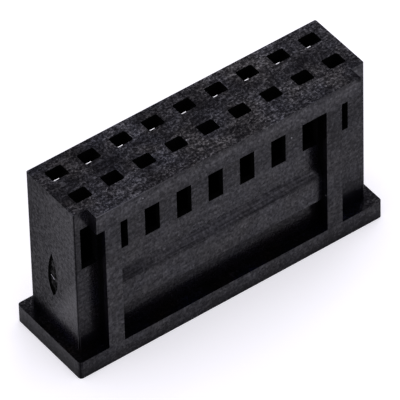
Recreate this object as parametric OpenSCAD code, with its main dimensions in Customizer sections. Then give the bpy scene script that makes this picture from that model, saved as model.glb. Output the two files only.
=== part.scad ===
// Female connector housing: the empty moulding of a two-row crimp connector.
// It stands on its wire side, with the mating face and its pin entries on top.
// The origin is on the base, at the middle of the contact grid.
// +X runs along the rows, -Y is the keyed front and +Z points out of the mating face.

/* [Contact grid] */
// Contacts in each row
ways = 9; // [3:1:20]
// Spacing of the contacts along a row
pitch = 2.54; // [2.4:0.01:5.08]
// Spacing of the two rows
row_pitch = 2.54; // [2.2:0.01:5.08]

/* [Contact cavities] */
// Width of a cavity along the row
cavity_w = 2.1; // [1.6:0.05:2.25]
// Depth of a cavity across the rows
cavity_d = 1.8; // [1.3:0.05:2.2]
// How far each side of a cavity's mouth widens at the base
mouth_lead = 0.12; // [0.02:0.01:0.14]
// Height of the widened mouth
mouth_h = 0.35; // [0.1:0.05:1.2]

/* [Walls] */
// Height of the housing over all
housing_h = 13.6; // [11:0.1:25]
// Wall outside the end cavities
end_wall = 0.44; // [0.3:0.01:2]
// Wall outside each row of cavities
side_wall = 0.43; // [0.3:0.01:2]
// Plate that closes the cavities at the mating face
face_plate = 1.15; // [0.5:0.05:1.4]
// Radius of the body's upright corners
corner_r = 0.12; // [0.05:0.01:0.25]

/* [Pin entries] */
// Length of a pin entry along the row
entry_w = 1.3; // [0.7:0.05:1.6]
// Length of a pin entry across the rows
entry_d = 1.04; // [0.7:0.02:1.3]
// Radius of an entry's corners
entry_r = 0.14; // [0.05:0.01:0.3]

/* [Lance windows] */
// Width of a window, from one side wall of its cavity
window_w = 1.18; // [0.6:0.02:1.5]
// Height of the window sill above the base
sill_z = 8.56; // [7:0.02:11]

/* [Polarising key] */
// How far the key stands out of the front
key_depth = 1; // [0.6:0.05:2]
// Height of the key's cross band, down from the mating face
band_h = 1.5; // [0.6:0.05:2.5]
// Corner notch between each end of the body and the band
band_notch = 1.05; // [0.5:0.05:1.5]
// Width of each upright rib
rib_w = 1.23; // [0.6:0.01:1.3]

/* [Latch ledge] */
// How far the ledge stands out of the front
ledge_depth = 0.5; // [0.2:0.05:0.95]
// Height of the latching shoulder above the base
ledge_z = 3.96; // [2.5:0.02:5]
// Height of the ledge's upright face
ledge_h = 2.1; // [0.5:0.05:2.5]
// Rise of the lead-in ramp above that face
ledge_ramp = 0.6; // [0.2:0.05:1]

/* [Flange] */
// Thickness of the flange round the base
flange_t = 1.46; // [0.8:0.02:2.2]
// Overhang of the flange at each end
flange_end = 0.7; // [0.3:0.05:2]
// Overhang of the flange at the back
flange_back = 0.78; // [0.3:0.02:2]
// Radius of the flange's corners
flange_r = 0.25; // [0.1:0.05:0.6]

/* [Gate scar] */
// Width of the torn scar on the left end
scar_w = 1.02; // [0.4:0.02:1.2]
// Length of the scar above its widest place
scar_up = 2.4; // [1:0.05:3]
// Length of the scar below its widest place
scar_down = 1.45; // [0.6:0.05:2]
// Depth of the scar
scar_depth = 0.2; // [0.05:0.01:0.28]
// Height of its widest place above the base
scar_z = 5.8; // [4:0.1:8]
// Distance of the scar behind the middle of the end
scar_y = 0.1; // [-0.5:0.05:0.5]

/* [Hidden] */
$fn = 48;

// Extra length of a cut beyond the faces that it opens
over = 0.3;

first_x = -(ways - 1) * pitch / 2;
last_x = first_x + (ways - 1) * pitch;
contact_xs = [for (i = [0 : ways - 1]) first_x + i * pitch];
row_ys = [-row_pitch / 2, row_pitch / 2];

body_l = last_x - first_x + cavity_w + 2 * end_wall;
body_d = row_pitch + cavity_d + 2 * side_wall;
front_y = -body_d / 2;
key_y = front_y - key_depth;
ledge_y = front_y - ledge_depth;
flange_back_y = body_d / 2 + flange_back;
band_z = housing_h - band_h;
band_l = body_l - 2 * band_notch;
ceiling_z = housing_h - face_plate;

// Pieces on the front run back to the middle of the wall that carries them
root_y = front_y + side_wall / 2;

// A rib stands on the web between two windows of the front row
web_x = pitch / 2 - cavity_w / 2 + window_w / 2;
rib_xs = [first_x + web_x, last_x - pitch + web_x];

housing_color = "#1c1c1e";

// Rectangle from corner to corner, with true arcs at its corners
module round_rect(low, high, r) {
    span = high - low;
    translate([low.x + r, low.y]) square([span.x - 2 * r, span.y]);
    translate([low.x, low.y + r]) square([span.x, span.y - 2 * r]);
    for (x = [low.x + r, high.x - r], y = [low.y + r, high.y - r])
        translate([x, y]) circle(r);
}

// Box from corner to corner
module block(low, high) {
    translate(low) cube(high - low);
}

// Extrudes a profile drawn in Y and Z along X
module along_x(x0, x1) {
    translate([x0, 0, 0]) rotate([90, 0, 90]) linear_extrude(x1 - x0) children();
}

// Extrudes a profile drawn in X and Z along Y
module along_y(y0, y1) {
    translate([0, y1, 0]) rotate([90, 0, 0]) linear_extrude(y1 - y0) children();
}

module body_block() {
    linear_extrude(housing_h)
        round_rect([-body_l / 2, front_y], [body_l / 2, -front_y], corner_r);
}

module flange() {
    reach_x = body_l / 2 + flange_end;
    linear_extrude(flange_t)
        round_rect([-reach_x, key_y], [reach_x, flange_back_y], flange_r);
}

// Cross band below the mating face, stopped short of both ends
module key_band() {
    block([-band_l / 2, key_y, band_z], [band_l / 2, root_y, housing_h]);
}

// Upright ribs between the flange and the band
module key_ribs() {
    for (x = rib_xs)
        block([x - rib_w / 2, key_y, 0], [x + rib_w / 2, root_y, housing_h - band_h / 2]);
}

// Ledge between the ribs: a ramp towards the mating face and a square shoulder below
module latch_ledge() {
    face_top = ledge_z + ledge_h;
    ramp_top = face_top + ledge_ramp;
    along_x(rib_xs[0], rib_xs[1])
        polygon([
            [root_y, ledge_z],
            [ledge_y, ledge_z],
            [ledge_y, face_top],
            [front_y, ramp_top],
            [root_y, ramp_top]
        ]);
}

// Windows of the front row, each flush with the left wall of its cavity
module front_windows() {
    reach_y = front_y + side_wall + cavity_d / 2;
    for (x = contact_xs)
        block(
            [x - cavity_w / 2, front_y - over, sill_z],
            [x - cavity_w / 2 + window_w, reach_y, band_z]
        );
}

// The back row holds its contacts turned about, so its windows are turned too
module lance_windows() {
    front_windows();
    rotate([0, 0, 180]) front_windows();
}

module cavities() {
    for (x = contact_xs, y = row_ys)
        block(
            [x - cavity_w / 2, y - cavity_d / 2, -over],
            [x + cavity_w / 2, y + cavity_d / 2, ceiling_z]
        );
}

// Profile of a mouth that widens downwards from a cavity of the given width
module mouth_profile(at, width) {
    slope = mouth_lead / mouth_h;
    foot = width / 2 + mouth_lead + slope * over;
    translate([at, 0])
        polygon([[-foot, -over], [foot, -over], [width / 2, mouth_h], [-width / 2, mouth_h]]);
}

// All mouths at once: wedges along the rows crossed with wedges across them
module cavity_mouths() {
    intersection() {
        along_y(key_y, flange_back_y)
            for (x = contact_xs) mouth_profile(x, cavity_w);
        along_x(-body_l / 2, body_l / 2)
            for (y = row_ys) mouth_profile(y, cavity_d);
    }
}

module pin_entries() {
    corner = [entry_w, entry_d] / 2;
    for (x = contact_xs, y = row_ys)
        translate([x, y, ceiling_z - over])
            linear_extrude(face_plate + 2 * over) round_rect(-corner, corner, entry_r);
}

// Half of a pointed leaf between two arcs, from its widest place to its tip
module half_leaf(width, length) {
    half = width / 2;
    r = (half * half + length * length) / width;
    intersection() {
        translate([half - r, 0]) circle(r);
        translate([r - half, 0]) circle(r);
        translate([-half, 0]) square([width, length]);
    }
}

// Where the moulding gate tore off: a shallow leaf-shaped scar
module gate_scar() {
    end_x = -body_l / 2;
    along_x(end_x - over, end_x + scar_depth)
        translate([scar_y, scar_z]) {
            half_leaf(scar_w, scar_up);
            mirror([0, 1]) half_leaf(scar_w, scar_down);
        }
}

module housing() {
    color(housing_color)
        difference() {
            union() {
                difference() {
                    body_block();
                    lance_windows();
                }
                flange();
                key_band();
                key_ribs();
                latch_ledge();
            }
            cavities();
            cavity_mouths();
            pin_entries();
            gate_scar();
        }
}

housing();
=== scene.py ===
"""Looks of a moulded crimp connector housing, built around its CAD frame."""

import math

import bmesh
import bpy
from mathutils import Matrix, Vector


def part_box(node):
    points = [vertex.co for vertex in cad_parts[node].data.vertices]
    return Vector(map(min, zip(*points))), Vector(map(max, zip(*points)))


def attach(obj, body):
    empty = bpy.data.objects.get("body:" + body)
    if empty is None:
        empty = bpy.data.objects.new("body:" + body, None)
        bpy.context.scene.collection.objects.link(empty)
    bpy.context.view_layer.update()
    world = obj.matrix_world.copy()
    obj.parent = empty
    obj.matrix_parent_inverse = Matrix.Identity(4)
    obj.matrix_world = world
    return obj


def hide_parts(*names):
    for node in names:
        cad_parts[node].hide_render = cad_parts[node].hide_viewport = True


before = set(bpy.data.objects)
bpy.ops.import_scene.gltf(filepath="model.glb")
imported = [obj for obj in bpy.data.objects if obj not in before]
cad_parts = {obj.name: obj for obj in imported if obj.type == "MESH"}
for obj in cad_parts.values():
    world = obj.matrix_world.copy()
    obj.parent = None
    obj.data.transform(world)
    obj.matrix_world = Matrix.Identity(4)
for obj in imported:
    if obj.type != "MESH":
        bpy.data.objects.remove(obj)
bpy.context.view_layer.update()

bl_info = {
    "name": "Connector Housing",
    "version": (1, 0, 0),
    "blender": (4, 5, 0),
    "location": "3D View > Sidebar > Housing",
    "description": "Finishes a black glass-filled connector housing and its studio",
    "category": "Object",
}

BODY = "root"
NODE = "housing"

# Modelling is done at one unit to the millimetre, as bevels of a few hundredths are too fine in metres
MM = 0.001
PER_MM = 1000.0

# Places of the frame are in millimetres too, and count as the same when they are closer than this
SAME = 0.01

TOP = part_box(NODE)[1][2] * PER_MM
POINTS = [vertex.co * PER_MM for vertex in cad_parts[NODE].data.vertices]
MATING_FACE = [point for point in POINTS if point.z > TOP - SAME]
BODY_X = max(point.x for point in MATING_FACE)
BODY_Y = max(point.y for point in MATING_FACE)
KEY_Y = min(point.y for point in MATING_FACE)
FLANGE_X = max(point.x for point in POINTS)
FLANGE_BACK = max(point.y for point in POINTS)
FLANGE_TOP = max(point.z for point in POINTS if point.x > BODY_X + SAME)

# The windows' sills are the lowest corners that the back wall has above the flange
SILL = min(point.z for point in POINTS if abs(point.y - BODY_Y) < SAME and point.z > FLANGE_TOP + SAME)

# The key's face carries the band, and the sides of the ribs from left to right
KEY_FACE = [point for point in POINTS if point.y < KEY_Y + SAME and abs(point.x) < BODY_X]
BAND_X = max(point.x for point in KEY_FACE if point.z > TOP - SAME)
BAND_FOOT = min(point.z for point in KEY_FACE if point.x > BAND_X - SAME)
RIB_X = sorted({round(point.x, 3) for point in KEY_FACE if abs(point.z - FLANGE_TOP) < SAME})

# The ledge's face ends in corners against the ribs, between the body's front and the key's face
LEDGE = [
    point
    for point in POINTS
    if abs(point.x - RIB_X[1]) < SAME and KEY_Y + SAME < point.y < -BODY_Y - SAME
]
LEDGE_Y = min(point.y for point in LEDGE)
LEDGE_TOP = max(point.z for point in LEDGE)

# Between these depths behind the left end, past its rounded corners, only the gate scar has a floor
SCAR_DEPTHS = (0.15, 0.3)
SCAR = [point for point in POINTS if SCAR_DEPTHS[0] < point.x + BODY_X < SCAR_DEPTHS[1]]
SCAR_LOW = Vector([min(point[axis] for point in SCAR) for axis in range(3)])
SCAR_HIGH = Vector([max(point[axis] for point in SCAR) for axis in range(3)])

# Limits in millimetres: points welded into one, the skin over the cored walls,
# the rim of the flange that carries its outer edges, and the widest strip of a rounded edge
WELD = 0.0005
SKIN = 0.05
RIM = 0.2
STRIP = 0.04

# Angles in degrees between two faces: at most that of a flat place, and at least those of the others
FLAT = 0.5
CREASE = 10
CORNER = 30
SQUARE_EDGE = 60

# Share of the gate scar's width and height that the torn ground fills
TEAR_WIDTH = 0.9
TEAR_HEIGHT = 0.92

# Sizes of the plastic's grain and marks, in millimetres
SWIRL = 3.0
SWIRL_REACH = 1.2
CLOUD = 2.2
STREAK = (1.4, 0.2, 0.2)
DRAG_MARK = (3.0, 0.12, 0.12)
CORE_MARK = (0.08, 0.08, 2.0)
TORN_FACET = 0.3
GLINT_FIBRE = 0.06
SPECK_RADII = (0.04, 0.07)
SPECK_SPACING = 2.6

# Fibres are about a hundredth of a millimetre across; these are drawn coarser, so that they show
SIDE_FLECK = (0.12, 0.13, 0.16)
FACE_FLECK = (0.11, 0.11, 0.11)
THREAD = 0.6
THREAD_LENGTH = 0.45

# Round softboxes: name, degrees right of the front, degrees above the floor, radius in metres and radiance
SOFTBOXES = (
    ("overhead", 0, 90, 0.25, 2.1),
    ("back", 126, 45, 0.12, 2.0),
    ("front", 28, 27, 0.15, 0.35),
)


def linear(code):
    """The linear colour of an sRGB hex code."""
    channels = [int(code[i : i + 2], 16) / 255 for i in (1, 3, 5)]
    return tuple(c / 12.92 if c <= 0.04045 else ((c + 0.055) / 1.055) ** 2.4 for c in channels)


def per_metre(size):
    """The scale that gives a pattern features of a size in millimetres."""
    return 1 / (size * MM)


# Settings that a user would change


class HousingShape(bpy.types.PropertyGroup):
    """Sizes of the moulding's edges and of the tear in its gate scar."""

    flange_radius: bpy.props.FloatProperty(
        name="Flange edge radius",
        description="Radius round the top of the flange",
        unit="LENGTH",
        default=0.08 * MM,
        min=0.0,
    )
    edge_radius: bpy.props.FloatProperty(
        name="Edge radius",
        description="Radius of every other outer edge",
        unit="LENGTH",
        default=0.025 * MM,
        min=0.0,
    )
    tear_thickness: bpy.props.FloatProperty(
        name="Tear thickness",
        description="Thickness of the torn ground, half of it above the floor of the gate scar",
        unit="LENGTH",
        default=0.2 * MM,
        min=0.0,
    )
    tear_raggedness: bpy.props.FloatProperty(
        name="Tear raggedness",
        description="How far the points of the torn ground stray",
        unit="LENGTH",
        default=0.04 * MM,
        min=0.0,
    )
    sliver_length: bpy.props.FloatProperty(
        name="Sliver length",
        description="Length of the pale sliver left in the gate scar",
        unit="LENGTH",
        default=0.4 * MM,
        min=0.0,
    )
    sliver_width: bpy.props.FloatProperty(
        name="Sliver width",
        description="Width of the pale sliver left in the gate scar",
        unit="LENGTH",
        default=0.055 * MM,
        min=0.0,
    )
    sliver_raggedness: bpy.props.FloatProperty(
        name="Sliver raggedness",
        description="How far the points of the sliver stray",
        unit="LENGTH",
        default=0.012 * MM,
        min=0.0,
    )
    sliver_turn: bpy.props.FloatProperty(
        name="Sliver turn",
        description="Turn of the sliver from upright, about the axis along the rows",
        subtype="ANGLE",
        default=math.radians(62),
    )
    sliver_place: bpy.props.FloatVectorProperty(
        name="Sliver place",
        description="Place of the sliver from the middle of the scar's floor",
        subtype="TRANSLATION",
        default=(-0.13 * MM, 0.06 * MM, -0.3 * MM),
    )


class HousingColours(bpy.types.PropertyGroup):
    """Colours of the plastic."""

    resin: bpy.props.FloatVectorProperty(
        name="Resin",
        description="Black resin of the moulding",
        subtype="COLOR",
        size=3,
        default=linear("#030303"),
    )
    sheen: bpy.props.FloatVectorProperty(
        name="Sheen",
        description="Tint of the faint light that the resin reflects under its skin",
        subtype="COLOR",
        size=3,
        default=linear("#ddcbff"),
    )
    cool_fibre: bpy.props.FloatVectorProperty(
        name="Cool fibre",
        description="Glass fibre that reads through the skin where it lies close",
        subtype="COLOR",
        size=3,
        default=linear("#020820"),
    )
    warm_fibre: bpy.props.FloatVectorProperty(
        name="Warm fibre",
        description="Glass fibre that reads through the skin where it lies deeper",
        subtype="COLOR",
        size=3,
        default=linear("#140b03"),
    )
    # Pale colour of the white specks; on the sliver in the gate scar it is a painted glint
    pale_and_glint: bpy.props.FloatVectorProperty(
        name="Whitened",
        description="Plastic that paled where it was torn",
        subtype="COLOR",
        size=3,
        default=linear("#c4c4c8"),
    )


class StudioSettings(bpy.types.PropertyGroup):
    """Camera, floor and light of the studio."""

    azimuth: bpy.props.FloatProperty(
        name="Azimuth",
        description="How far left of the front the camera stands",
        subtype="ANGLE",
        default=math.radians(35.594),
    )
    elevation: bpy.props.FloatProperty(
        name="Elevation",
        description="How far above the floor the camera looks down from",
        subtype="ANGLE",
        default=math.radians(44.137),
    )
    roll: bpy.props.FloatProperty(
        name="Roll",
        description="Turn of the camera about its own axis",
        subtype="ANGLE",
        default=math.radians(-1.573),
    )
    distance: bpy.props.FloatProperty(
        name="Distance",
        description="From the camera to the point that it looks at",
        unit="LENGTH",
        default=0.43224,
    )
    field_of_view: bpy.props.FloatProperty(
        name="Field of view",
        description="Angle across the picture",
        subtype="ANGLE",
        default=math.radians(3.4460),
    )
    target: bpy.props.FloatVectorProperty(
        name="Target",
        description="Point that the camera looks at",
        subtype="TRANSLATION",
        default=(-0.000335, -0.000634, 0.00679),
    )
    floor: bpy.props.FloatVectorProperty(
        name="Floor",
        description="Colour of the floor",
        subtype="COLOR",
        size=3,
        default=linear("#f4f4f4"),
    )
    floor_size: bpy.props.FloatProperty(
        name="Floor size",
        description="Length of each side of the floor",
        unit="LENGTH",
        default=4.0,
    )
    floor_lift: bpy.props.FloatProperty(
        name="Floor lift",
        description="Light added where the camera sees the floor, so that it reads as white",
        default=0.35,
    )
    gloss_lift: bpy.props.FloatProperty(
        name="Gloss lift",
        description="Light added where gloss shows the floor",
        default=0.1,
    )
    surround: bpy.props.FloatVectorProperty(
        name="Surround",
        description="Colour of the soft light all round and of the softboxes",
        subtype="COLOR",
        size=3,
        default=linear("#f6f3ff"),
    )
    surround_strength: bpy.props.FloatProperty(
        name="Surround strength",
        description="Strength of the soft light all round",
        default=0.6,
    )
    lamp_distance: bpy.props.FloatProperty(
        name="Softbox distance",
        description="From the middle of the floor to each softbox",
        unit="LENGTH",
        default=0.6,
    )


# Helpers for modelling by operator, for placing and for materials


def activate(piece):
    """Makes a piece the only selected and active object, in object mode."""
    if bpy.context.object and bpy.context.object.mode != "OBJECT":
        bpy.ops.object.mode_set(mode="OBJECT")
    bpy.ops.object.select_all(action="DESELECT")
    piece.select_set(True)
    bpy.context.view_layer.objects.active = piece


def edit(piece):
    """Opens a piece in edit mode with nothing selected."""
    activate(piece)
    bpy.ops.object.mode_set(mode="EDIT")
    bpy.ops.mesh.select_all(action="DESELECT")


def select(piece, kind, test):
    """Selects the edges or the faces of an opened piece that pass a test, and nothing else."""
    bpy.context.tool_settings.mesh_select_mode = [mode == kind for mode in ("VERT", "EDGE", "FACE")]
    mesh = bmesh.from_edit_mesh(piece.data)
    mesh.select_mode = {kind}
    for element in mesh.edges if kind == "EDGE" else mesh.faces:
        element.select_set(test(element))
    mesh.select_flush_mode()
    bmesh.update_edit_mesh(piece.data)


def resize(factor):
    """Scales the whole mesh of the opened piece about the origin."""
    bpy.ops.mesh.select_all(action="SELECT")
    bpy.ops.transform.resize(value=(factor, factor, factor), center_override=(0, 0, 0))


def is_bent(edge, angle):
    """Whether the two faces at an edge turn by more than an angle in degrees."""
    return edge.is_manifold and edge.calc_face_angle() > math.radians(angle)


def is_cored(point):
    """Whether a point lies inside the body's outer skin, where steel cores shaped it."""
    across = abs(point.x) < BODY_X - SKIN and abs(point.y) < BODY_Y - SKIN
    return across and SKIN < point.z < TOP - SKIN


def is_cored_face(face):
    """Whether a face is a wall of a cavity, an entry or a window."""
    within = all(abs(vertex.co.y) < BODY_Y + SAME for vertex in face.verts)
    return within and is_cored(face.calc_center_median())


def is_rounding(face):
    """Whether a face is one of the narrow strips that round an edge."""
    return face.calc_area() < STRIP / 2 * face.calc_perimeter()


def is_crease(edge):
    """Whether shading breaks at an edge."""
    return is_bent(edge, CREASE)


def is_outer_corner(edge):
    """Whether an edge is a corner of the outer skin, or of an opening in it."""
    middle = (edge.verts[0].co + edge.verts[1].co) / 2
    return is_bent(edge, CORNER) and not is_cored(middle)


def is_flange_edge(edge):
    """Whether an edge runs round the outside of the flange's top."""
    middle = (edge.verts[0].co + edge.verts[1].co) / 2
    level = all(abs(vertex.co.z - FLANGE_TOP) < SAME for vertex in edge.verts)
    at_end = abs(middle.x) > FLANGE_X - RIM
    at_side = middle.y < KEY_Y + RIM or middle.y > FLANGE_BACK - RIM
    return level and (at_end or at_side) and is_bent(edge, SQUARE_EDGE)


def toward(azimuth, elevation):
    """The direction of what stands at an angle right of the front and an angle above the floor."""
    return Vector(
        (
            math.sin(azimuth) * math.cos(elevation),
            -math.cos(azimuth) * math.cos(elevation),
            math.sin(elevation),
        )
    )


def add_node(tree, kind, settings=None, links=None):
    """Adds a node, sets its properties and inputs, and links its inputs to other sockets."""
    node = tree.nodes.new(kind)
    for key, value in (settings or {}).items():
        if isinstance(key, str) and hasattr(node, key):
            setattr(node, key, value)
        else:
            node.inputs[key].default_value = value
    for key, socket in (links or {}).items():
        tree.links.new(socket, node.inputs[key])
    return node


# Materials


def new_material(name):
    """A material with an empty node tree."""
    material = bpy.data.materials.new(name)
    material.use_nodes = True
    material.node_tree.nodes.clear()
    return material


def beyond(tree, place, reach_x, reach_y):
    """A socket that is 1 where a place lies outside an upright box about the origin, and else 0."""
    outward = add_node(tree, "ShaderNodeVectorMath", {"operation": "ABSOLUTE"}, {0: place})
    outward = add_node(tree, "ShaderNodeSeparateXYZ", {}, {"Vector": outward.outputs["Vector"]})
    passed = [
        add_node(
            tree,
            "ShaderNodeMath",
            {"operation": "GREATER_THAN", 1: reach * MM},
            {0: outward.outputs[axis]},
        )
        for axis, reach in (("X", reach_x), ("Y", reach_y))
    ]
    either = add_node(
        tree,
        "ShaderNodeMath",
        {"operation": "MAXIMUM"},
        {0: passed[0].outputs["Value"], 1: passed[1].outputs["Value"]},
    )
    return either.outputs["Value"]


def apart(tree, value, middle):
    """A socket for how far a value lies from a middle one, either way."""
    offset = add_node(tree, "ShaderNodeMath", {"operation": "SUBTRACT", 1: middle}, {0: value})
    distance = add_node(tree, "ShaderNodeMath", {"operation": "ABSOLUTE"}, {0: offset.outputs["Value"]})
    return distance.outputs["Value"]


def fibre_grain(tree, place, upward):
    """Glass fibre as the skin shows it: fleck by fleck, drawn out along the flow, and in clouds."""
    # The melt carried its fibres in swirls a few millimetres across
    swirl = add_node(
        tree,
        "ShaderNodeTexNoise",
        {"Scale": per_metre(SWIRL), "Detail": 1.0},
        {"Vector": place},
    )
    carried = add_node(
        tree,
        "ShaderNodeVectorMath",
        {"operation": "MULTIPLY_ADD", 1: (SWIRL_REACH * MM,) * 3},
        {0: swirl.outputs["Color"], 2: place},
    )
    clouds = add_node(
        tree,
        "ShaderNodeTexNoise",
        {"Scale": per_metre(CLOUD), "Detail": 2.0},
        {"Vector": carried.outputs["Vector"]},
    )
    clouds = add_node(tree, "ShaderNodeSeparateColor", {}, {"Color": clouds.outputs["Color"]})
    streaks = add_node(
        tree,
        "ShaderNodeMapping",
        {"Scale": [per_metre(size) for size in STREAK]},
        {"Vector": carried.outputs["Vector"]},
    )
    streaks = add_node(
        tree,
        "ShaderNodeTexNoise",
        {"Scale": 1.0, "Detail": 2.0},
        {"Vector": streaks.outputs["Vector"]},
    )
    streaks = add_node(
        tree,
        "ShaderNodeMapRange",
        {"From Min": 0.3, "From Max": 0.7},
        {"Value": streaks.outputs["Fac"]},
    )

    # Each fleck is a cell with its own brightness, softened by noise of nearly twice its size
    spacing = add_node(
        tree,
        "ShaderNodeMix",
        {
            "data_type": "VECTOR",
            4: [per_metre(size) for size in SIDE_FLECK],
            5: [per_metre(size) for size in FACE_FLECK],
        },
        {0: upward},
    )
    ends = add_node(
        tree,
        "ShaderNodeVectorMath",
        {"operation": "MULTIPLY"},
        {0: place, 1: spacing.outputs[1]},
    )
    cells = add_node(tree, "ShaderNodeTexVoronoi", {"Scale": 1.0}, {"Vector": ends.outputs["Vector"]})
    cells = add_node(tree, "ShaderNodeSeparateColor", {}, {"Color": cells.outputs["Color"]})
    grain = add_node(
        tree,
        "ShaderNodeTexNoise",
        {"Scale": 0.6, "Detail": 1.0},
        {"Vector": ends.outputs["Vector"]},
    )
    grain = add_node(
        tree,
        "ShaderNodeMapRange",
        {"From Min": 0.3, "From Max": 0.7},
        {"Value": grain.outputs["Fac"]},
    )
    flecks = add_node(
        tree,
        "ShaderNodeMix",
        {"data_type": "FLOAT", "Factor": 0.5},
        {"A": cells.outputs["Red"], "B": grain.outputs["Result"]},
    )
    flecks = add_node(
        tree,
        "ShaderNodeMix",
        {"data_type": "FLOAT", "Factor": 0.28},
        {"A": flecks.outputs["Result"], "B": streaks.outputs["Result"]},
    )
    return flecks.outputs["Result"], clouds.outputs


def wall_shade_and_finish(tree, at):
    """Painted shade on the plain walls, and the gloss of the key's band."""
    # Painted shade: the front goes darker past the left rib's outer side and from the right rib on, and so
    # does the flange's front towards its ends
    middle = (RIB_X[0] + RIB_X[2]) / 2
    reach = (RIB_X[2] - RIB_X[0]) / 2
    in_front = add_node(tree, "ShaderNodeMath", {"operation": "LESS_THAN", 1: 0.0}, {0: at["Y"]})
    beside = add_node(
        tree,
        "ShaderNodeMath",
        {"operation": "MULTIPLY"},
        {0: apart(tree, at["X"], middle * MM), 1: in_front.outputs["Value"]},
    )
    past_ribs_shade = add_node(
        tree,
        "ShaderNodeMapRange",
        {"From Min": reach * MM, "From Max": (reach + 0.05) * MM, "To Min": 1.0, "To Max": 0.72},
        {"Value": beside.outputs["Value"]},
    )
    flange = add_node(
        tree,
        "ShaderNodeMapRange",
        {"From Min": (reach - 2.0) * MM, "From Max": (reach + 2.0) * MM, "To Min": 1.03, "To Max": 0.72},
        {"Value": beside.outputs["Value"]},
    )
    low = add_node(tree, "ShaderNodeMath", {"operation": "LESS_THAN", 1: FLANGE_TOP * MM}, {0: at["Z"]})
    past_ribs_shade = add_node(
        tree,
        "ShaderNodeMix",
        {"data_type": "FLOAT"},
        {"Factor": low.outputs["Value"], "A": past_ribs_shade.outputs["Result"], "B": flange.outputs["Result"]},
    )

    # Painted shade: darker between the windows, under the band's overhang
    under_band_shade = add_node(
        tree,
        "ShaderNodeMapRange",
        {"From Min": (SILL - 0.16) * MM, "From Max": (SILL + 0.24) * MM, "To Min": 1.0, "To Max": 0.76},
        {"Value": at["Z"]},
    )
    walls = add_node(
        tree,
        "ShaderNodeMath",
        {"operation": "MULTIPLY"},
        {0: past_ribs_shade.outputs["Result"], 1: under_band_shade.outputs["Result"]},
    )

    # The band brightens upwards, and dulls again just under its rounded edge
    band = add_node(
        tree,
        "ShaderNodeMapRange",
        {"From Min": BAND_FOOT * MM, "From Max": (TOP - 0.6) * MM, "To Min": 0.72, "To Max": 1.08},
        {"Value": at["Z"]},
    )
    under_edge = add_node(
        tree,
        "ShaderNodeMapRange",
        {"From Min": (TOP - 0.35) * MM, "From Max": (TOP - 0.15) * MM, "To Min": 1.0, "To Max": 0.75},
        {"Value": at["Z"]},
    )
    band = add_node(
        tree,
        "ShaderNodeMath",
        {"operation": "MULTIPLY"},
        {0: band.outputs["Result"], 1: under_edge.outputs["Result"]},
    )
    high = add_node(
        tree,
        "ShaderNodeMath",
        {"operation": "GREATER_THAN", 1: (BAND_FOOT - 0.1) * MM},
        {0: at["Z"]},
    )
    walls = add_node(
        tree,
        "ShaderNodeMix",
        {"data_type": "FLOAT"},
        {"Factor": high.outputs["Value"], "A": walls.outputs["Value"], "B": band.outputs["Value"]},
    )
    return walls.outputs["Result"]


def ledge_streaks_and_shade(tree, place, at, facing):
    """Painted shade on the latch ledge: on its ramp, along the top of its face and by the right rib, with
    drag streaks on the ramp.
    """
    # Painted shade: the ramp goes darker beside the left rib, which shades it, and the tool dragged fine
    # streaks along it
    ramp = add_node(
        tree,
        "ShaderNodeMapRange",
        {
            "From Min": (RIB_X[1] + 0.8) * MM,
            "From Max": (RIB_X[1] + 3.4) * MM,
            "To Min": 0.52,
            "To Max": 1.06,
        },
        {"Value": at["X"]},
    )
    dragged = add_node(
        tree,
        "ShaderNodeMapping",
        {"Scale": [per_metre(size) for size in DRAG_MARK]},
        {"Vector": place},
    )
    dragged = add_node(
        tree,
        "ShaderNodeTexNoise",
        {"Scale": 1.0, "Detail": 2.0},
        {"Vector": dragged.outputs["Vector"]},
    )
    dragged = add_node(
        tree,
        "ShaderNodeMapRange",
        {"From Min": 0.35, "From Max": 0.65, "To Min": 0.6, "To Max": 1.2},
        {"Value": dragged.outputs["Fac"]},
    )
    ramp = add_node(
        tree,
        "ShaderNodeMath",
        {"operation": "MULTIPLY"},
        {0: ramp.outputs["Result"], 1: dragged.outputs["Result"]},
    )
    sloping = add_node(tree, "ShaderNodeMath", {"operation": "COMPARE", 1: 0.64, 2: 0.05}, {0: facing["Z"]})
    ramp = add_node(
        tree,
        "ShaderNodeMix",
        {"data_type": "FLOAT", "A": 1.0},
        {"Factor": sloping.outputs["Value"], "B": ramp.outputs["Value"]},
    )

    # Painted shade: a darker line along the top of the ledge's face, in the crease under the ramp
    lip_shade = add_node(
        tree,
        "ShaderNodeMapRange",
        {"From Min": 0.05 * MM, "From Max": 0.2 * MM, "To Min": 0.6, "To Max": 1.0},
        {"Value": apart(tree, at["Z"], (LEDGE_TOP - 0.04) * MM)},
    )
    on_ledge = add_node(
        tree,
        "ShaderNodeMath",
        {"operation": "COMPARE", 1: LEDGE_Y * MM, 2: 0.12 * MM},
        {0: at["Y"]},
    )
    lip_shade = add_node(
        tree,
        "ShaderNodeMix",
        {"data_type": "FLOAT", "A": 1.0},
        {"Factor": on_ledge.outputs["Value"], "B": lip_shade.outputs["Result"]},
    )

    # Painted shade: the corner between the ledge and the right rib goes darker, as the rib shades it
    nook_shade = add_node(
        tree,
        "ShaderNodeMapRange",
        {"From Min": 0.2 * MM, "From Max": 0.8 * MM, "To Min": 0.5, "To Max": 1.0},
        {"Value": apart(tree, at["X"], RIB_X[2] * MM)},
    )
    behind = add_node(
        tree,
        "ShaderNodeMath",
        {"operation": "GREATER_THAN", 1: (KEY_Y + 0.3) * MM},
        {0: at["Y"]},
    )
    nook_shade = add_node(
        tree,
        "ShaderNodeMix",
        {"data_type": "FLOAT", "A": 1.0},
        {"Factor": behind.outputs["Value"], "B": nook_shade.outputs["Result"]},
    )
    return [part.outputs["Result"] for part in (ramp, lip_shade, nook_shade)]


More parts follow.
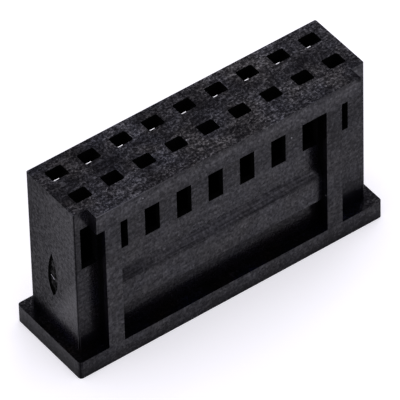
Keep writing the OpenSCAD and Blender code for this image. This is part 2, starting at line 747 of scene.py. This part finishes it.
def front_shade_and_finish(tree, place, at, facing, outside):
    """Painted shade on the walls that face front and back, with the band's gloss and the ramp's streaks, as
    a factor from 0 to about 1.
    """
    # Painted shade: the walls inside the flange go darker low down, where they reflect the dark top of the
    # flange and the floor's contact shadow
    foot_shade = add_node(
        tree,
        "ShaderNodeMapRange",
        {
            "From Min": (FLANGE_TOP + 1.54) * MM,
            "From Max": (FLANGE_TOP + 2.94) * MM,
            "To Min": 0.54,
            "To Max": 1.0,
        },
        {"Value": at["Z"]},
    )
    foot_shade = add_node(
        tree,
        "ShaderNodeMath",
        {"operation": "MAXIMUM"},
        {0: foot_shade.outputs["Result"], 1: outside},
    )
    shaded_finish = wall_shade_and_finish(tree, at)
    for part in (*ledge_streaks_and_shade(tree, place, at, facing), foot_shade.outputs["Value"]):
        worn_and_shaded = add_node(tree, "ShaderNodeMath", {"operation": "MULTIPLY"}, {0: shaded_finish, 1: part})
        shaded_finish = worn_and_shaded.outputs["Value"]
    return shaded_finish


def end_light_and_shade(tree, place, at, outside):
    """Painted light and shade on the faces towards the ends, up to about a half, and below 0 where painted
    dark.
    """
    # Painted shade: both ends go darker towards the back, where they reflect the floor in the body's shadow
    back_end_shade = add_node(
        tree,
        "ShaderNodeMapRange",
        {"From Min": (0.4 - BODY_Y) * MM, "From Max": (BODY_Y - 0.4) * MM, "To Min": 0.27, "To Max": 0.09},
        {"Value": at["Y"]},
    )

    # Painted light: the left end goes lighter low at the front, where it reflects the lit floor
    gloss = add_node(
        tree,
        "ShaderNodeVectorMath",
        {"operation": "DOT_PRODUCT", 1: (0.2, 1.0, 0.6)},
        {0: place},
    )
    gloss = add_node(
        tree,
        "ShaderNodeMapRange",
        {"From Min": -1.1 * MM, "From Max": 0.9 * MM, "To Min": 0.54, "To Max": 0.0},
        {"Value": gloss.outputs["Value"]},
    )
    level = add_node(
        tree,
        "ShaderNodeMath",
        {"operation": "MAXIMUM"},
        {0: back_end_shade.outputs["Result"], 1: gloss.outputs["Result"]},
    )

    # Painted shade: the sides of the ribs go dark, as they lie in shade
    ribs = add_node(tree, "ShaderNodeMath", {"operation": "ABSOLUTE"}, {0: at["X"]})
    ribs = add_node(
        tree,
        "ShaderNodeMapRange",
        {"From Min": (BAND_X - 0.2) * MM, "From Max": (BAND_X - 0.1) * MM, "To Min": -0.3, "To Max": 1.0},
        {"Value": ribs.outputs["Value"]},
    )
    level = add_node(
        tree,
        "ShaderNodeMath",
        {"operation": "MINIMUM"},
        {0: level.outputs["Value"], 1: ribs.outputs["Result"]},
    )
    level = add_node(
        tree,
        "ShaderNodeMix",
        {"data_type": "FLOAT", "B": 0.26},
        {"Factor": outside, "A": level.outputs["Value"]},
    )
    return level.outputs["Result"]


def side_film(tree, place, at, facing, flecks):
    """How much gloss the skin has on the upright faces: a fine satin, scaled by the painted light and shade
    on each wall.
    """
    # The flange and the key's face lie outside the walls
    outside = beyond(tree, place, BODY_X + 0.1, BODY_Y + 0.6)
    satin = add_node(
        tree,
        "ShaderNodeMapRange",
        {"To Min": math.log(0.175), "To Max": math.log(1.16)},
        {"Value": flecks},
    )
    satin = add_node(tree, "ShaderNodeMath", {"operation": "EXPONENT"}, {0: satin.outputs["Result"]})
    walls = add_node(
        tree,
        "ShaderNodeMath",
        {"operation": "MULTIPLY"},
        {0: satin.outputs["Value"], 1: front_shade_and_finish(tree, place, at, facing, outside)},
    )

    # The ends take the same grain about their own level
    grain = add_node(tree, "ShaderNodeMapRange", {"To Min": -0.23, "To Max": 0.23}, {"Value": flecks})
    ends = add_node(
        tree,
        "ShaderNodeMath",
        {"operation": "ADD", "use_clamp": True},
        {0: grain.outputs["Result"], 1: end_light_and_shade(tree, place, at, outside)},
    )
    endward = add_node(tree, "ShaderNodeMath", {"operation": "ABSOLUTE"}, {0: facing["X"]})
    sides = add_node(
        tree,
        "ShaderNodeMix",
        {"data_type": "FLOAT"},
        {"Factor": endward.outputs["Value"], "A": walls.outputs["Value"], "B": ends.outputs["Value"]},
    )

    # Painted shade: the flange goes darker towards its lower edge, where it reflects the floor's contact
    # shadow
    rim = add_node(
        tree,
        "ShaderNodeMapRange",
        {"From Min": 0.2 * MM, "From Max": (FLANGE_TOP - 0.21) * MM, "To Min": 0.38, "To Max": 1.0},
        {"Value": at["Z"]},
    )
    rim = add_node(
        tree,
        "ShaderNodeMix",
        {"data_type": "FLOAT", "A": 1.0},
        {"Factor": outside, "B": rim.outputs["Result"]},
    )

    # Painted shade: upright rounded corners go dark, where they mirror dark surroundings
    upright_corner_shade = add_node(tree, "ShaderNodeMath", {"operation": "MULTIPLY"}, {0: facing["X"], 1: facing["Y"]})
    upright_corner_shade = add_node(tree, "ShaderNodeMath", {"operation": "ABSOLUTE"}, {0: upright_corner_shade.outputs["Value"]})
    upright_corner_shade = add_node(
        tree,
        "ShaderNodeMapRange",
        {"From Min": 0.36, "From Max": 0.46, "To Min": 1.0, "To Max": 0.2},
        {"Value": upright_corner_shade.outputs["Value"]},
    )
    film = sides.outputs["Result"]
    for part in (rim, upright_corner_shade):
        worn_and_shaded = add_node(
            tree,
            "ShaderNodeMath",
            {"operation": "MULTIPLY"},
            {0: film, 1: part.outputs["Result"]},
        )
        film = worn_and_shaded.outputs["Value"]
    return film


def face_film(tree, place, at, flecks, clouds):
    """How much gloss the skin has on faces that look up: coarsely flecked, threaded and clouded."""
    face = add_node(
        tree,
        "ShaderNodeMapRange",
        {"From Max": 0.78, "To Min": math.log(0.022), "To Max": 0.0},
        {"Value": flecks},
    )
    face = add_node(tree, "ShaderNodeMath", {"operation": "EXPONENT"}, {0: face.outputs["Result"]})

    # Short lengths of fibre lie bare as curved threads
    threads = add_node(
        tree,
        "ShaderNodeTexNoise",
        {"Scale": per_metre(THREAD), "Detail": 0.0},
        {"Vector": place},
    )
    threads = add_node(
        tree,
        "ShaderNodeMapRange",
        {"From Min": 0.02, "From Max": 0.06, "To Min": 1.0, "To Max": 0.0},
        {"Value": apart(tree, threads.outputs["Fac"], 0.5)},
    )
    lengths = add_node(
        tree,
        "ShaderNodeTexNoise",
        {"Scale": per_metre(THREAD_LENGTH), "Detail": 1.0},
        {"Vector": place},
    )
    lengths = add_node(
        tree,
        "ShaderNodeMapRange",
        {"From Min": 0.55, "From Max": 0.62},
        {"Value": lengths.outputs["Fac"]},
    )
    threads = add_node(
        tree,
        "ShaderNodeMath",
        {"operation": "MULTIPLY"},
        {0: threads.outputs["Result"], 1: lengths.outputs["Result"]},
    )
    face = add_node(
        tree,
        "ShaderNodeMath",
        {"operation": "MAXIMUM"},
        {0: face.outputs["Value"], 1: threads.outputs["Value"]},
    )

    # Such faces are clouded and duller between the rows of entries; painted shade darkens the flange's top,
    # where it reflects the dark body, and painted light brightens them towards the back
    patches = add_node(
        tree,
        "ShaderNodeMapRange",
        {"From Min": 0.34, "From Max": 0.66, "To Min": 0.42, "To Max": 1.34},
        {"Value": clouds["Red"]},
    )
    between = add_node(tree, "ShaderNodeMath", {"operation": "ABSOLUTE"}, {0: at["Y"]})
    between = add_node(
        tree,
        "ShaderNodeMapRange",
        {"From Min": 0.3 * MM, "From Max": 1.0 * MM, "To Min": 0.72, "To Max": 1.06},
        {"Value": between.outputs["Value"]},
    )
    painted_back_light = add_node(
        tree,
        "ShaderNodeMapRange",
        {"From Min": KEY_Y * MM, "From Max": BODY_Y * MM, "To Min": 0.92, "To Max": 1.1},
        {"Value": at["Y"]},
    )
    flange = add_node(
        tree,
        "ShaderNodeMapRange",
        {"From Min": FLANGE_TOP * MM, "From Max": TOP * MM, "To Min": 0.42, "To Max": 1.0},
        {"Value": at["Z"]},
    )
    film = face.outputs["Value"]
    for part in (patches, between, painted_back_light, flange):
        worn_and_shaded = add_node(
            tree,
            "ShaderNodeMath",
            {"operation": "MULTIPLY"},
            {0: film, 1: part.outputs["Result"]},
        )
        film = worn_and_shaded.outputs["Value"]
    return film


def edge_highlight_and_shade(tree, place, at, film):
    """The skin's gloss with a painted highlight along the band's leading edge, and painted shade at its
    right corner.
    """
    # Painted highlight: the left half of that edge glints
    edge = add_node(
        tree,
        "ShaderNodeVectorMath",
        {"operation": "DOT_PRODUCT", 1: (0.0, -1.0, 1.0)},
        {0: place},
    )
    edge = add_node(
        tree,
        "ShaderNodeMapRange",
        {"From Min": (TOP - KEY_Y - 0.09) * MM, "From Max": (TOP - KEY_Y - 0.04) * MM},
        {"Value": edge.outputs["Value"]},
    )
    highlight_reach = add_node(
        tree,
        "ShaderNodeMapRange",
        {"From Min": (0.2 - BAND_X) * MM, "From Max": 1.0 * MM, "To Min": 0.95, "To Max": 0.0},
        {"Value": at["X"]},
    )
    edge = add_node(
        tree,
        "ShaderNodeMath",
        {"operation": "MULTIPLY"},
        {0: edge.outputs["Result"], 1: highlight_reach.outputs["Result"]},
    )
    lit_and_shaded_edge = add_node(tree, "ShaderNodeMath", {"operation": "MAXIMUM"}, {0: film, 1: edge.outputs["Value"]})

    # Painted shade: the band's top goes dark at its right corner
    corner = add_node(
        tree,
        "ShaderNodeVectorMath",
        {"operation": "DISTANCE", 1: (BAND_X * MM, KEY_Y * MM, TOP * MM)},
        {0: place},
    )
    corner = add_node(
        tree,
        "ShaderNodeMapRange",
        {"From Min": 0.15 * MM, "From Max": 0.45 * MM, "To Min": 0.1, "To Max": 1.0},
        {"Value": corner.outputs["Value"]},
    )
    lit_and_shaded_edge = add_node(
        tree,
        "ShaderNodeMath",
        {"operation": "MULTIPLY"},
        {0: lit_and_shaded_edge.outputs["Value"], 1: corner.outputs["Result"]},
    )
    return lit_and_shaded_edge.outputs["Value"]


def fibre_colour(tree, place, colours, film, clouds, upward):
    """Black resin, tinted where fibre reads through it, with a few white specks."""
    depth = add_node(
        tree,
        "ShaderNodeMapRange",
        {"From Min": 0.36, "From Max": 0.64, "To Min": -0.5, "To Max": 0.5},
        {"Value": clouds["Blue"]},
    )
    clouded = add_node(tree, "ShaderNodeMapRange", {"To Min": 0.35, "To Max": 1.0}, {"Value": upward})
    depth = add_node(
        tree,
        "ShaderNodeMath",
        {"operation": "MULTIPLY_ADD", 2: 0.5},
        {0: depth.outputs["Result"], 1: clouded.outputs["Result"]},
    )
    fibre = add_node(
        tree,
        "ShaderNodeMix",
        {"data_type": "RGBA", 6: (*colours.cool_fibre, 1), 7: (*colours.warm_fibre, 1)},
        {0: depth.outputs["Value"]},
    )
    # The film brings its painted light and shade into the colour too
    tinted = add_node(
        tree,
        "ShaderNodeMix",
        {"data_type": "RGBA", 6: (*colours.resin, 1)},
        {0: film, 7: fibre.outputs[2]},
    )

    # The specks are fibre ends and grains of dust, about a tenth of a millimetre across
    specks = add_node(tree, "ShaderNodeTexVoronoi", {"Scale": per_metre(SPECK_SPACING)}, {"Vector": place})
    specks = add_node(
        tree,
        "ShaderNodeMapRange",
        {
            "From Min": SPECK_RADII[0] / SPECK_SPACING,
            "From Max": SPECK_RADII[1] / SPECK_SPACING,
            "To Min": 0.5,
            "To Max": 0.0,
        },
        {"Value": specks.outputs["Distance"]},
    )
    colour = add_node(
        tree,
        "ShaderNodeMix",
        {"data_type": "RGBA", 7: (*colours.pale_and_glint, 1)},
        {0: specks.outputs["Result"], 6: tinted.outputs[2]},
    )
    return colour.outputs[2]


def moulded_plastic(colours):
    """Black glass-filled polyester, injection moulded: a satin skin, finely grained on the sides.

    The plate that shaped the mating face was spark-eroded, so faces that look up are coarsely flecked.
    """
    material = new_material("glass_filled_polyester_moulded")
    tree = material.node_tree
    coordinates = add_node(tree, "ShaderNodeTexCoord").outputs
    place = coordinates["Object"]
    at = add_node(tree, "ShaderNodeSeparateXYZ", {}, {"Vector": place}).outputs
    facing = add_node(tree, "ShaderNodeSeparateXYZ", {}, {"Vector": coordinates["Normal"]}).outputs
    upward = add_node(
        tree,
        "ShaderNodeMapRange",
        {"From Min": 0.75, "From Max": 0.95},
        {"Value": facing["Z"]},
    ).outputs["Result"]
    flecks, clouds = fibre_grain(tree, place, upward)
    # The film holds the grain and also the painted light, shade and highlight of the functions above
    film = add_node(
        tree,
        "ShaderNodeMix",
        {"data_type": "FLOAT"},
        {
            "Factor": upward,
            "A": side_film(tree, place, at, facing, flecks),
            "B": face_film(tree, place, at, flecks, clouds),
        },
    )
    film = edge_highlight_and_shade(tree, place, at, film.outputs["Result"])
    bump = add_node(
        tree,
        "ShaderNodeBump",
        {"Strength": 1.0, "Distance": 0.01 * MM},
        {"Height": flecks},
    )
    shader = add_node(
        tree,
        "ShaderNodeBsdfPrincipled",
        {
            "IOR": 1.45,
            "Roughness": 0.3,
            "Specular IOR Level": 0.03,
            "Specular Tint": (*colours.sheen, 1),
            "Coat IOR": 1.7,
            "Coat Roughness": 0.22,
        },
        {
            "Base Color": fibre_colour(tree, place, colours, film, clouds, upward),
            "Coat Weight": film,
            "Normal": bump.outputs["Normal"],
            "Coat Normal": bump.outputs["Normal"],
        },
    )
    add_node(tree, "ShaderNodeOutputMaterial", {}, {"Surface": shader.outputs["BSDF"]})
    return material


def cored_plastic(colours):
    """The same plastic where steel cores shaped it: matt, with fine marks along the way they were drawn."""
    material = new_material("glass_filled_polyester_cored")
    tree = material.node_tree
    place = add_node(tree, "ShaderNodeTexCoord").outputs["Object"]
    marks = add_node(
        tree,
        "ShaderNodeMapping",
        {"Scale": [per_metre(size) for size in CORE_MARK]},
        {"Vector": place},
    )
    marks = add_node(
        tree,
        "ShaderNodeTexNoise",
        {"Scale": 1.0, "Detail": 1.0},
        {"Vector": marks.outputs["Vector"]},
    )
    rough = add_node(
        tree,
        "ShaderNodeMapRange",
        {"To Min": 0.7, "To Max": 0.95},
        {"Value": marks.outputs["Fac"]},
    )
    shader = add_node(
        tree,
        "ShaderNodeBsdfPrincipled",
        {"Base Color": (*colours.resin, 1), "IOR": 1.45, "Specular IOR Level": 0.05},
        {"Roughness": rough.outputs["Result"]},
    )
    add_node(tree, "ShaderNodeOutputMaterial", {}, {"Surface": shader.outputs["BSDF"]})
    return material


def torn_plastic(colours):
    """The same plastic torn across its fibres: a black ragged break, where a few facets catch the light."""
    material = new_material("glass_filled_polyester_torn")
    tree = material.node_tree
    place = add_node(tree, "ShaderNodeTexCoord").outputs["Object"]
    facets = add_node(tree, "ShaderNodeTexVoronoi", {"Scale": per_metre(TORN_FACET)}, {"Vector": place})
    facets = add_node(tree, "ShaderNodeSeparateColor", {}, {"Color": facets.outputs["Color"]})
    gloss = add_node(
        tree,
        "ShaderNodeMapRange",
        {"From Min": 0.6, "From Max": 1.0, "To Min": 0.0, "To Max": 0.4},
        {"Value": facets.outputs["Red"]},
    )
    shader = add_node(
        tree,
        "ShaderNodeBsdfPrincipled",
        {
            "Base Color": (*colours.resin, 1),
            "IOR": 1.45,
            "Roughness": 0.5,
            "Specular IOR Level": 0.04,
            "Coat Roughness": 0.2,
        },
        {"Coat Weight": gloss.outputs["Result"]},
    )
    add_node(tree, "ShaderNodeOutputMaterial", {}, {"Surface": shader.outputs["BSDF"]})
    return material


def painted_glint_plastic(colours):
    """The same plastic as a matt whitish sliver, uneven along its fibres, whose pale colour is a painted
    glint.
    """
    material = new_material("glass_filled_polyester_painted_glint")
    tree = material.node_tree
    place = add_node(tree, "ShaderNodeTexCoord").outputs["Object"]
    fibres = add_node(
        tree,
        "ShaderNodeTexNoise",
        {"Scale": per_metre(GLINT_FIBRE), "Detail": 1.0},
        {"Vector": place},
    )
    # Painted glint: the pale colour runs in streaks along the fibres
    paled = add_node(
        tree,
        "ShaderNodeMapRange",
        {"From Min": 0.25, "From Max": 0.45},
        {"Value": fibres.outputs["Fac"]},
    )
    colour = add_node(
        tree,
        "ShaderNodeMix",
        {"data_type": "RGBA", 6: (*colours.resin, 1), 7: (*colours.pale_and_glint, 1)},
        {0: paled.outputs["Result"]},
    )
    shader = add_node(
        tree,
        "ShaderNodeBsdfPrincipled",
        {"IOR": 1.45, "Roughness": 0.5},
        {"Base Color": colour.outputs[2]},
    )
    add_node(tree, "ShaderNodeOutputMaterial", {}, {"Surface": shader.outputs["BSDF"]})
    return material


def studio_floor(settings):
    """Matt white sweep: it keeps the soft shadow, and reads as white to the eye and in gloss."""
    material = new_material("matt_white_sweep")
    tree = material.node_tree
    path = add_node(tree, "ShaderNodeLightPath").outputs
    gloss = add_node(
        tree,
        "ShaderNodeMath",
        {"operation": "MAXIMUM"},
        {0: path["Is Glossy Ray"], 1: path["Is Transmission Ray"]},
    )
    gloss = add_node(
        tree,
        "ShaderNodeMath",
        {"operation": "MULTIPLY", 1: settings.gloss_lift},
        {0: gloss.outputs["Value"]},
    )

    # Under the body, where only the cavities show it, the floor gets no lift
    place = add_node(tree, "ShaderNodeTexCoord").outputs["Object"]
    seen = add_node(
        tree,
        "ShaderNodeMath",
        {"operation": "MULTIPLY"},
        {0: path["Is Camera Ray"], 1: beyond(tree, place, BODY_X, BODY_Y)},
    )
    strength = add_node(
        tree,
        "ShaderNodeMath",
        {"operation": "MULTIPLY_ADD", 1: settings.floor_lift},
        {0: seen.outputs["Value"], 2: gloss.outputs["Value"]},
    )
    shader = add_node(
        tree,
        "ShaderNodeBsdfPrincipled",
        {
            "Base Color": (*settings.floor, 1),
            "Roughness": 0.9,
            "Specular IOR Level": 0.0,
            "Emission Color": (*linear("#ffffff"), 1),
        },
        {"Emission Strength": strength.outputs["Value"]},
    )
    add_node(tree, "ShaderNodeOutputMaterial", {}, {"Surface": shader.outputs["BSDF"]})
    return material


# Operators


class HOUSING_OT_moulding(bpy.types.Operator):
    """Rounds the outer edges of the moulding and gives it its plastic"""

    bl_idname = "housing.moulding"
    bl_label = "Moulding"

    def execute(self, context):
        shape = context.scene.housing_shape
        colours = context.scene.housing_colours
        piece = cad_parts[NODE].copy()
        piece.data = piece.data.copy()
        piece.name = "moulding"
        piece.parent = None
        context.scene.collection.objects.link(piece)
        piece.data.materials.clear()
        piece.data.materials.append(moulded_plastic(colours))
        piece.data.materials.append(cored_plastic(colours))

        edit(piece)
        bpy.ops.mesh.customdata_custom_splitnormals_clear()
        resize(PER_MM)
        bpy.ops.mesh.remove_doubles(threshold=WELD)
        bpy.ops.mesh.faces_shade_flat()
        bpy.ops.mesh.dissolve_limited(angle_limit=math.radians(FLAT))
        select(piece, "EDGE", is_flange_edge)
        bpy.ops.mesh.bevel(offset=shape.flange_radius * PER_MM, segments=4, profile=0.5, clamp_overlap=True)
        select(piece, "EDGE", is_outer_corner)
        bpy.ops.mesh.bevel(offset=shape.edge_radius * PER_MM, segments=3, profile=0.5, clamp_overlap=True)
        select(piece, "FACE", is_rounding)
        bpy.ops.mesh.faces_shade_smooth()
        select(piece, "EDGE", is_crease)
        bpy.ops.mesh.mark_sharp()
        select(piece, "FACE", is_cored_face)
        piece.active_material_index = 1
        bpy.ops.object.material_slot_assign()
        resize(MM)
        activate(piece)
        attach(piece, BODY)
        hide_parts(NODE)
        return {"FINISHED"}


class HOUSING_OT_gate(bpy.types.Operator):
    """Fills the gate scar with the ragged break that the gate left, and with its pale sliver, a painted
    glint
    """

    bl_idname = "housing.gate"
    bl_label = "Gate Tear"

    def execute(self, context):
        shape = context.scene.housing_shape
        colours = context.scene.housing_colours
        span = SCAR_HIGH - SCAR_LOW
        middle = (SCAR_LOW + SCAR_HIGH) / 2
        ground = Vector((SCAR_HIGH.x, middle.y, middle.z))

        bpy.ops.object.select_all(action="DESELECT")
        bpy.ops.mesh.primitive_ico_sphere_add(subdivisions=4, radius=0.5)
        tear = context.object
        tear.name = "gate_tear"
        tear.data.materials.append(torn_plastic(colours))
        edit(tear)
        bpy.ops.mesh.select_all(action="SELECT")
        size = (shape.tear_thickness * PER_MM, TEAR_WIDTH * span.y, TEAR_HEIGHT * span.z)
        bpy.ops.transform.resize(value=size, center_override=(0, 0, 0))
        stray = shape.tear_raggedness * PER_MM
        bpy.ops.transform.vertex_random(offset=stray, uniform=1.0, normal=0.0, seed=7)
        bpy.ops.transform.translate(value=ground)
        bpy.ops.mesh.faces_shade_flat()
        resize(MM)

        bpy.ops.object.mode_set(mode="OBJECT")
        bpy.ops.object.select_all(action="DESELECT")
        width = shape.sliver_width * PER_MM
        bpy.ops.mesh.primitive_cone_add(
            vertices=5,
            radius1=width / 2,
            radius2=width / 6,
            depth=shape.sliver_length * PER_MM,
        )
        sliver = context.object
        sliver.data.materials.append(painted_glint_plastic(colours))
        edit(sliver)
        bpy.ops.mesh.select_all(action="SELECT")
        bpy.ops.mesh.subdivide(number_cuts=2)
        stray = shape.sliver_raggedness * PER_MM
        bpy.ops.transform.vertex_random(offset=stray, uniform=1.0, normal=0.0, seed=3)
        bpy.ops.transform.rotate(value=shape.sliver_turn, orient_axis="X", center_override=(0, 0, 0))
        bpy.ops.transform.translate(value=ground + PER_MM * Vector(shape.sliver_place))
        bpy.ops.mesh.faces_shade_flat()
        resize(MM)

        activate(tear)
        sliver.select_set(True)
        bpy.ops.object.join()
        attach(tear, BODY)
        return {"FINISHED"}


class HOUSING_OT_studio(bpy.types.Operator):
    """Sets up the floor, the soft light and the camera"""

    bl_idname = "housing.studio"
    bl_label = "Studio"

    def execute(self, context):
        scene = context.scene
        settings = scene.housing_studio
        scene.view_settings.view_transform = "Standard"

        bpy.ops.object.select_all(action="DESELECT")
        bpy.ops.mesh.primitive_plane_add(size=settings.floor_size)
        floor = context.object
        floor.name = "floor"
        floor.data.materials.append(studio_floor(settings))

        world = bpy.data.worlds.new("surround")
        scene.world = world
        world.use_nodes = True
        tree = world.node_tree
        tree.nodes.clear()
        light = add_node(
            tree,
            "ShaderNodeBackground",
            {"Color": (*settings.surround, 1), "Strength": settings.surround_strength},
        )
        add_node(tree, "ShaderNodeOutputWorld", {}, {"Surface": light.outputs["Background"]})

        for name, azimuth, elevation, radius, radiance in SOFTBOXES:
            lamp = bpy.data.lights.new(name, "AREA")
            lamp.shape = "DISK"
            lamp.size = 2 * radius
            lamp.color = settings.surround
            # A lamp's power is its radiance times its area, times pi
            lamp.energy = radiance * math.pi * radius**2 * math.pi
            holder = bpy.data.objects.new(name, lamp)
            side = toward(math.radians(azimuth), math.radians(elevation))
            turn = side.to_track_quat("Z", "Y").to_matrix().to_4x4()
            holder.matrix_world = Matrix.Translation(settings.lamp_distance * side) @ turn
            scene.collection.objects.link(holder)

        forward = -toward(-settings.azimuth, settings.elevation)
        level = Vector((math.cos(settings.azimuth), -math.sin(settings.azimuth), 0))
        right = math.cos(settings.roll) * level + math.sin(settings.roll) * level.cross(forward)
        turn = Matrix((right, right.cross(forward), -forward)).transposed()
        place = Vector(settings.target) - settings.distance * forward
        bpy.ops.object.camera_add()
        camera = context.object
        camera.matrix_world = Matrix.Translation(place) @ turn.to_4x4()
        camera.data.sensor_fit = "HORIZONTAL"
        camera.data.angle = settings.field_of_view
        scene.camera = camera
        return {"FINISHED"}


class HOUSING_PT_sidebar(bpy.types.Panel):
    """Lists the pieces of the housing, its studio and their settings"""

    bl_label = "Connector Housing"
    bl_idname = "HOUSING_PT_sidebar"
    bl_space_type = "VIEW_3D"
    bl_region_type = "UI"
    bl_category = "Housing"

    def draw(self, context):
        for operator in OPERATORS:
            self.layout.operator(operator.bl_idname)
        for name, group in GROUPS.items():
            for setting in group.__annotations__:
                self.layout.prop(getattr(context.scene, name), setting)


GROUPS = {
    "housing_shape": HousingShape,
    "housing_colours": HousingColours,
    "housing_studio": StudioSettings,
}
OPERATORS = (HOUSING_OT_moulding, HOUSING_OT_gate, HOUSING_OT_studio)
CLASSES = (*GROUPS.values(), *OPERATORS, HOUSING_PT_sidebar)


def register():
    """Registers the classes and gives every scene their settings."""
    for cls in CLASSES:
        bpy.utils.register_class(cls)
    for name, group in GROUPS.items():
        setattr(bpy.types.Scene, name, bpy.props.PointerProperty(type=group))


def unregister():
    """Undoes what register did."""
    for name in GROUPS:
        delattr(bpy.types.Scene, name)
    for cls in reversed(CLASSES):
        bpy.utils.unregister_class(cls)


def main():
    """Builds the pieces and the studio."""
    register()
    bpy.ops.housing.moulding()
    bpy.ops.housing.gate()
    bpy.ops.housing.studio()


if __name__ == "__main__":
    main()
